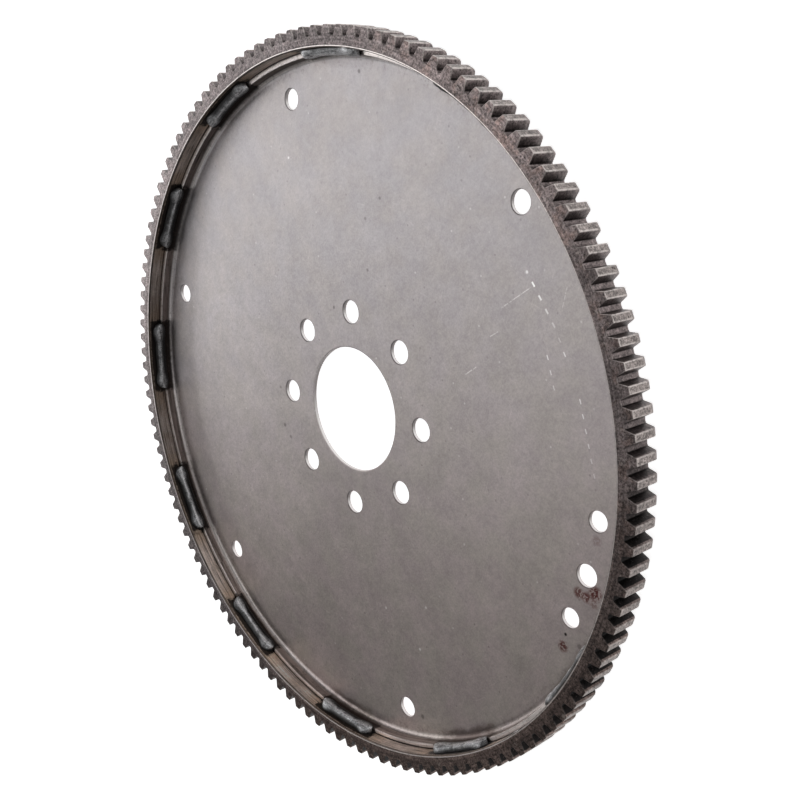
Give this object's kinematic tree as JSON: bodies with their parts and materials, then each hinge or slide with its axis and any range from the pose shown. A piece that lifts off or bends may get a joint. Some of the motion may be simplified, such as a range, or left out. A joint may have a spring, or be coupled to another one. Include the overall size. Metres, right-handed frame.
{
  "type": "flexplate",
  "caption": "Flat stamped steel drive disc with a centre bore, two circles of bolt holes and an upturned rim, stitch-welded inside a starter ring gear.",
  "frame": {"origin": "on the axis of the centre bore, at the back face of the disc's hub, on which the part lies", "axes": "+Z along the bore axis, towards the recessed side with the welds; +X through the middles of a crank hole and a converter hole, which line up"},
  "size_m": [0.3858, 0.3858, 0.0183],
  "materials": {
    "sheet_steel": "bare mill-finish sheet, satin and slightly mottled",
    "gear_steel": "dark heat-treated steel with bright tooth edges",
    "weld_metal": "dark rippled weld bead with a thin skin of scale"
  },
  "bodies": {
    "root": {"disc": "sheet_steel", "ring_gear": "gear_steel", "weld_01": "weld_metal", "weld_02": "weld_metal", "weld_03": "weld_metal", "weld_04": "weld_metal", "weld_05": "weld_metal", "weld_06": "weld_metal", "weld_07": "weld_metal", "weld_08": "weld_metal", "weld_09": "weld_metal", "weld_10": "weld_metal", "weld_11": "weld_metal", "weld_12": "weld_metal"}
  },
  "joints": []
}
